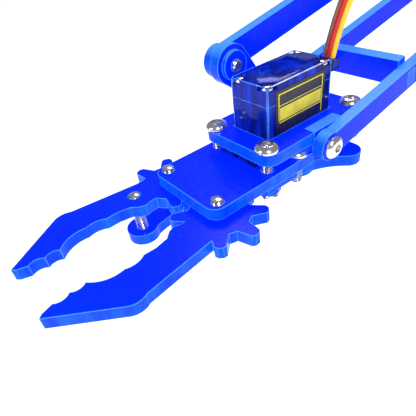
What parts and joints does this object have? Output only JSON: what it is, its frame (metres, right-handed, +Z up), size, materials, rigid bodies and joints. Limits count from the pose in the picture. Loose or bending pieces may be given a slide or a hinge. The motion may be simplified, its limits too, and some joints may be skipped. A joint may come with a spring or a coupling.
{
  "type": "desktop robot arm",
  "caption": "Desktop arm of laser-cut acrylic plates with micro servos, parallel linkages that keep the hand level, and a geared two-finger gripper.",
  "frame": {"origin": "on the turning axis, at the bottom face of the foot plate, in the middle of its four bench holes", "axes": "+X forward along the arm to the claw tips, +Y to the arm's left, +Z up along the turning axis"},
  "size_m": [0.3456, 0.0975, 0.1641],
  "materials": {
    "acrylic": "gloss",
    "servo_case": "gloss",
    "horn": "satin",
    "screws": "polished",
    "cable": "satin",
    "connector": "matte"
  },
  "bodies": {
    "base": {"base_footplate": "acrylic", "base_standoffs": "screws", "footplate_screws": "screws", "base_deck": "acrylic", "deck_screws": "screws", "base_servo_case": "servo_case", "base_collar": "acrylic", "base_collar_bolts": "screws"},
    "turret": {"turret_horn": "horn", "turret_plate": "acrylic", "side_plate_left": "acrylic", "side_plate_right": "acrylic", "turret_brace": "acrylic", "shoulder_servo_case": "servo_case", "elbow_servo_case": "servo_case", "shoulder_collar": "acrylic", "elbow_collar": "acrylic", "side_collar_bolts": "screws", "level_rod_post": "screws"},
    "upper_arm": {"upper_arm_right": "acrylic", "upper_arm_left": "acrylic", "upper_arm_brace": "acrylic", "shoulder_horn": "horn", "shoulder_horn_screws": "screws", "elbow_pivot_screws": "screws"},
    "level_rod": {"level_rod": "acrylic"},
    "elbow_triangle": {"elbow_triangle": "acrylic", "triangle_pivot_screws": "screws"},
    "forearm": {"forearm_beam_left": "acrylic", "forearm_beam_right": "acrylic", "forearm_braces": "acrylic", "tail_pivot_screw": "screws", "lead_tie_mount": "horn", "lead_hank": "cable", "lead_connector": "connector"},
    "forearm_rod": {"forearm_rod": "acrylic"},
    "elbow_lever": {"elbow_lever": "acrylic", "elbow_lever_hub": "acrylic", "elbow_horn": "horn", "elbow_horn_screws": "screws"},
    "lever_pivot": {"lever_pivot_screw": "screws"},
    "push_rod": {"push_rod": "acrylic"},
    "gripper": {"palm_plate": "acrylic", "gripper_collar": "acrylic", "wrist_bracket": "acrylic", "wrist_cheek_left": "acrylic", "wrist_plate_right": "acrylic", "wrist_pivot_screws": "screws", "gripper_collar_bolts": "screws", "palm_screws": "screws", "gripper_servo_case": "servo_case", "gripper_servo_cover": "servo_case", "servo_case_screws": "screws", "gripper_servo_lead": "cable"},
    "grip_lever": {"gripper_horn": "horn", "grip_lever": "acrylic"},
    "grip_link": {"grip_link": "acrylic", "grip_link_screws": "screws"},
    "claw_right": {"claw_right": "acrylic"},
    "claw_left": {"claw_left": "acrylic"}
  },
  "joints": [
    {"name": "base_yaw", "type": "hinge", "parent": "base", "child": "turret", "pos_m": [0, 0, 0.0399], "axis": [0, 0, 1], "range_deg": [-90, 90]},
    {"name": "shoulder", "type": "hinge", "parent": "turret", "child": "upper_arm", "pos_m": [0, 0, 0.064], "axis": [0, -1, 0], "range_deg": [-15, 55]},
    {"name": "level_rod_lower", "type": "hinge", "parent": "turret", "child": "level_rod", "pos_m": [-0.019, -0.0139, 0.0705], "axis": [0, -1, 0], "range_deg": [-15, 55]},
    {"name": "triangle_pivot", "type": "hinge", "parent": "upper_arm", "child": "elbow_triangle", "pos_m": [0.07778, -0.0105, 0.14178], "axis": [0, -1, 0], "range_deg": [-55, 15]},
    {"name": "elbow", "type": "hinge", "parent": "elbow_triangle", "child": "forearm", "pos_m": [0.07778, 0, 0.14178], "axis": [0, -1, 0], "range_deg": [-28.5, 16]},
    {"name": "forearm_rod_rear", "type": "hinge", "parent": "elbow_triangle", "child": "forearm_rod", "pos_m": [0.08668, -0.0139, 0.15988], "axis": [0, -1, 0], "range_deg": [-28.5, 16]},
    {"name": "wrist", "type": "hinge", "parent": "forearm", "child": "gripper", "pos_m": [0.20517, 0, 0.11586], "axis": [0, -1, 0], "range_deg": [-16, 28.5], "deforming": ["gripper_servo_lead"]},
    {"name": "elbow_lever_turn", "type": "hinge", "parent": "turret", "child": "elbow_lever", "pos_m": [0, 0.01725, 0.064], "axis": [0, -1, 0], "range_deg": [-28.5, 16]},
    {"name": "lever_pin", "type": "hinge", "parent": "elbow_lever", "child": "lever_pivot", "pos_m": [-0.0343, 0.0139, 0.07098], "axis": [0, -1, 0], "range_deg": [-16, 28.5]},
    {"name": "push_rod_lower", "type": "hinge", "parent": "lever_pivot", "child": "push_rod", "pos_m": [-0.0343, 0.0105, 0.07098], "axis": [0, -1, 0], "range_deg": [-15, 55]},
    {"name": "grip", "type": "hinge", "parent": "gripper", "child": "grip_lever", "pos_m": [0.20077, 0, 0.10226], "axis": [0, 0, -1], "range_deg": [-9.5, 30]},
    {"name": "link_rear", "type": "hinge", "parent": "grip_lever", "child": "grip_link", "pos_m": [0.21077, -0.0018, 0.09826], "axis": [0, 0, -1], "range_deg": [-30, 9.5]},
    {"name": "claw_right_turn", "type": "hinge", "parent": "gripper", "child": "claw_right", "pos_m": [0.23747, -0.0096, 0.10956], "axis": [0, 0, -1], "range_deg": [-9.5, 30]},
    {"name": "claw_left_turn", "type": "hinge", "parent": "gripper", "child": "claw_left", "pos_m": [0.23747, 0.0096, 0.10956], "axis": [0, 0, -1], "range_deg": [-30, 9.5]}
  ],
  "couplings": [
    {"joint": "level_rod_lower", "follows": "shoulder", "ratio": 1},
    {"joint": "triangle_pivot", "follows": "shoulder", "ratio": -1},
    {"joint": "forearm_rod_rear", "follows": "elbow", "ratio": 1},
    {"joint": "wrist", "follows": "elbow", "ratio": -1},
    {"joint": "elbow_lever_turn", "follows": "elbow", "ratio": 1},
    {"joint": "lever_pin", "follows": "elbow", "ratio": -1},
    {"joint": "push_rod_lower", "follows": "shoulder", "ratio": 1},
    {"joint": "link_rear", "follows": "grip", "ratio": -1},
    {"joint": "claw_right_turn", "follows": "grip", "ratio": 1},
    {"joint": "claw_left_turn", "follows": "grip", "ratio": -1}
  ]
}
